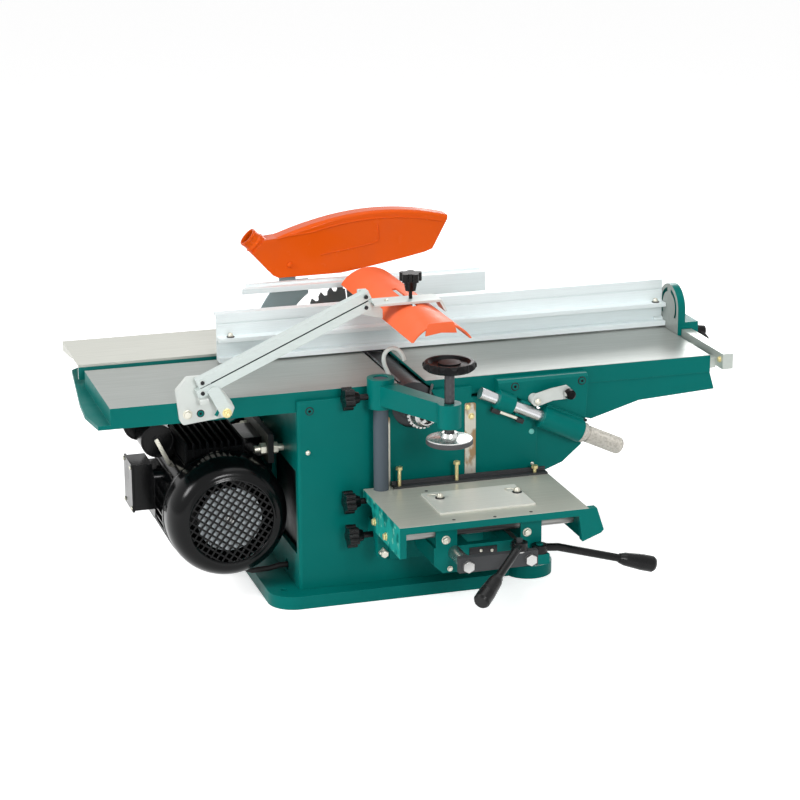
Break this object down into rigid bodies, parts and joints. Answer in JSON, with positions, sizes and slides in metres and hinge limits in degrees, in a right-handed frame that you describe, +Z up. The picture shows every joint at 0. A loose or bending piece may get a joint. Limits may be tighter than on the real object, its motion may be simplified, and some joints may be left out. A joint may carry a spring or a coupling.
{
  "type": "combination woodworking machine",
  "caption": "Bench combination woodworking machine: planer beds with fence and bridge guard, saw table with guard, and a mortising table before the chuck, on one motor-driven spindle.",
  "frame": {"origin": "on the floor under the spindle axis, midway across the planer beds, at the centre of the four base bolts", "axes": "+X along the beds towards the infeed end, +Y to the saw side at the rear, +Z up"},
  "size_m": [1.138, 0.7884, 0.5793],
  "materials": {
    "green_paint": "teal enamel over a casting, satin",
    "bed_iron": "ground iron top, teal enamel on the sides",
    "saw_table_grey": "fine-ground pale grey plate",
    "bare_steel": "turned or ground steel",
    "galvanised": "zinc coat with rust stains",
    "motor_black": "black enamel, semi-gloss",
    "fan_grey": "pale grey moulding",
    "belt_rubber": "dull black",
    "pale_aluminium": "satin anodised",
    "white_paint": "off-white enamel",
    "guard_orange": "coral-orange powder coat",
    "cover_orange": "orange moulding, soft sheen",
    "column_grey": "dark grey, satin",
    "pad_silver": "machined",
    "fitting_black": "black finish",
    "black_plastic": "moulded black"
  },
  "bodies": {
    "frame": {"base": "green_paint", "front_plate": "green_paint", "rear_plate": "green_paint", "side_plates": "green_paint", "ways_casting": "green_paint", "outfeed_table": "bed_iron", "bearing_housings": "bare_steel", "slot_hook": "white_paint", "adjuster_nut": "green_paint", "motor_plate": "bare_steel", "motor_housing": "motor_black", "fan_cover": "motor_black", "motor_electrics": "motor_black", "drive_belts": "belt_rubber", "belt_guard": "green_paint", "motor_lead": "belt_rubber", "bridge_bracket": "white_paint", "gib_straps": "galvanised"},
    "spindle": {"spindle_shaft": "bare_steel", "cutter_block": "bare_steel", "planer_knives": "bare_steel", "spindle_pulley": "bare_steel", "saw_blade": "bare_steel", "drill_chuck": "bare_steel"},
    "rotor": {"rotor_shaft": "bare_steel", "cooling_fan": "fan_grey"},
    "infeed": {"infeed_table": "bed_iron", "adjuster_bracket": "green_paint", "scale_bar": "pale_aluminium"},
    "infeed_screw": {"adjuster_rod": "bare_steel", "adjuster_grip": "pad_silver"},
    "infeed_lock": {"lock_lever": "white_paint"},
    "fence_carrier": {"fence_bracket": "green_paint"},
    "planing_fence": {"fence": "pale_aluminium"},
    "fence_lock": {"fence_clamp_lever": "black_plastic"},
    "guard_arm_low": {"lower_arm": "pale_aluminium"},
    "guard_arm_high": {"upper_arm": "pale_aluminium"},
    "guard_head": {"arm_head": "pale_aluminium"},
    "guard_bridge": {"bridge_guard": "guard_orange"},
    "guard_lock": {"guard_knob": "black_plastic"},
    "saw_lift": {"saw_table": "saw_table_grey", "saw_saddles": "green_paint", "riving_knife": "bare_steel"},
    "rip_guide": {"rip_fence": "pale_aluminium"},
    "blade_cover": {"saw_guard": "cover_orange"},
    "mortise_lift": {"lift_carriage": "green_paint", "guide_bars": "bare_steel"},
    "mortise_cross": {"cross_carriage": "green_paint"},
    "mortise_top": {"mortise_table": "green_paint", "table_rods": "bare_steel", "table_fittings": "fitting_black", "hold_column": "column_grey"},
    "clamp_arm": {"hold_arm": "green_paint"},
    "clamp_pad": {"hold_pad": "pad_silver"},
    "clamp_screw": {"hold_screw": "black_plastic"},
    "depth_handle": {"depth_lever": "black_plastic"},
    "traverse_handle": {"traverse_lever": "black_plastic"},
    "column_lock": {"column_knob": "black_plastic"},
    "arm_lock": {"arm_knob": "black_plastic"},
    "lift_lock": {"lift_knob": "black_plastic"}
  },
  "joints": [
    {"name": "spindle_spin", "type": "hinge", "parent": "frame", "child": "spindle", "pos_m": [0, 0, 0.324], "axis": [0, 1, 0], "continuous": true},
    {"name": "rotor_spin", "type": "hinge", "parent": "frame", "child": "rotor", "pos_m": [-0.309, 0, 0.148], "axis": [0, 1, 0], "continuous": true},
    {"name": "infeed_slide", "type": "slide", "parent": "frame", "child": "infeed", "axis": [0.9063, 0, -0.4226], "range_m": [0, 0.0071]},
    {"name": "infeed_screw_turn", "type": "hinge", "parent": "infeed", "child": "infeed_screw", "pos_m": [0.107, -0.15, 0.343], "axis": [0.9063, 0, -0.4226], "range_deg": [0, 645]},
    {"name": "infeed_lock_turn", "type": "hinge", "parent": "infeed", "child": "infeed_lock", "pos_m": [0.204, -0.15, 0.3225], "axis": [0, -1, 0], "range_deg": [-20, 60]},
    {"name": "fence_slide", "type": "slide", "parent": "infeed", "child": "fence_carrier", "axis": [0, 1, 0], "range_m": [-0.14, 0.004]},
    {"name": "fence_tilt", "type": "hinge", "parent": "fence_carrier", "child": "planing_fence", "pos_m": [0.54, 0.1, 0.3745], "axis": [1, 0, 0], "range_deg": [-45, 0]},
    {"name": "fence_lock_turn", "type": "hinge", "parent": "fence_carrier", "child": "fence_lock", "pos_m": [0.58, 0.06, 0.358], "axis": [1, 0, 0], "range_deg": [-35, 60]},
    {"name": "guard_arm_swing", "type": "hinge", "parent": "frame", "child": "guard_arm_low", "pos_m": [-0.3595, -0.134, 0.3828], "axis": [0, -1, 0], "range_deg": [-3, 7]},
    {"name": "guard_arm_follow", "type": "hinge", "parent": "frame", "child": "guard_arm_high", "pos_m": [-0.3595, -0.134, 0.4002], "axis": [0, -1, 0], "range_deg": [-3, 7]},
    {"name": "guard_head_level", "type": "hinge", "parent": "guard_arm_low", "child": "guard_head", "pos_m": [-0.08663, -0.134, 0.50258], "axis": [0, -1, 0], "range_deg": [-7, 3]},
    {"name": "guard_bridge_slide", "type": "slide", "parent": "guard_head", "child": "guard_bridge", "axis": [0, -1, 0], "range_m": [-0.022, 0.09]},
    {"name": "guard_lock_turn", "type": "hinge", "parent": "guard_head", "child": "guard_lock", "pos_m": [-0.005, -0.124, 0.518], "axis": [0, 0, 1], "range_deg": [-20, 540]},
    {"name": "saw_lift_slide", "type": "slide", "parent": "frame", "child": "saw_lift", "axis": [0, 0, 1], "range_m": [0, 0.06]},
    {"name": "rip_guide_slide", "type": "slide", "parent": "saw_lift", "child": "rip_guide", "axis": [0, -1, 0], "range_m": [0, 0.03]},
    {"name": "blade_cover_tilt", "type": "hinge", "parent": "saw_lift", "child": "blade_cover", "pos_m": [-0.118, 0.245, 0.493], "axis": [0, -1, 0], "range_deg": [0, 20]},
    {"name": "mortise_lift_slide", "type": "slide", "parent": "frame", "child": "mortise_lift", "axis": [0, 0, 1], "range_m": [-0.04, 0.015]},
    {"name": "mortise_cross_slide", "type": "slide", "parent": "mortise_lift", "child": "mortise_cross", "axis": [0, 1, 0], "range_m": [-0.05, 0.002]},
    {"name": "mortise_top_slide", "type": "slide", "parent": "mortise_cross", "child": "mortise_top", "axis": [1, 0, 0], "range_m": [-0.05, 0.012]},
    {"name": "clamp_arm_slide", "type": "slide", "parent": "mortise_top", "child": "clamp_arm", "axis": [0, 0, 1], "range_m": [-0.06, 0.018]},
    {"name": "clamp_pad_slide", "type": "slide", "parent": "clamp_arm", "child": "clamp_pad", "axis": [0, 0, 1], "range_m": [-0.044, 0.006]},
    {"name": "clamp_screw_turn", "type": "hinge", "parent": "clamp_pad", "child": "clamp_screw", "pos_m": [0.004, -0.3, 0.388], "axis": [0, 0, 1], "range_deg": [-3970, 545]},
    {"name": "depth_handle_turn", "type": "hinge", "parent": "mortise_lift", "child": "depth_handle", "pos_m": [0.098, -0.371, 0.152], "axis": [0, 0, 1], "range_deg": [-3, 46]},
    {"name": "traverse_handle_turn", "type": "hinge", "parent": "mortise_cross", "child": "traverse_handle", "pos_m": [0.15, -0.323, 0.1255], "axis": [0, 0, 1], "range_deg": [-31, 8]},
    {"name": "column_lock_turn", "type": "hinge", "parent": "mortise_top", "child": "column_lock", "pos_m": [-0.09, -0.15, 0.176], "axis": [-1, 0, 0], "range_deg": [-20, 540]},
    {"name": "arm_lock_turn", "type": "hinge", "parent": "clamp_arm", "child": "arm_lock", "pos_m": [-0.09, -0.15, 0.354], "axis": [-1, 0, 0], "range_deg": [-20, 540]},
    {"name": "lift_lock_turn", "type": "hinge", "parent": "mortise_lift", "child": "lift_lock", "pos_m": [-0.08, -0.165, 0.122], "axis": [-1, 0, 0], "range_deg": [-20, 540]}
  ],
  "couplings": [
    {"joint": "rotor_spin", "follows": "spindle_spin", "ratio": 0.71111},
    {"joint": "infeed_screw_turn", "follows": "infeed_slide", "rad_per_m": 1570.8},
    {"joint": "guard_arm_follow", "follows": "guard_arm_swing", "ratio": 1},
    {"joint": "guard_head_level", "follows": "guard_arm_swing", "ratio": -1},
    {"joint": "clamp_screw_turn", "follows": "clamp_pad_slide", "rad_per_m": 1570.8},
    {"joint": "depth_handle_turn", "follows": "mortise_cross_slide", "rad_per_m": -15.7},
    {"joint": "traverse_handle_turn", "follows": "mortise_top_slide", "rad_per_m": 10.7}
  ]
}
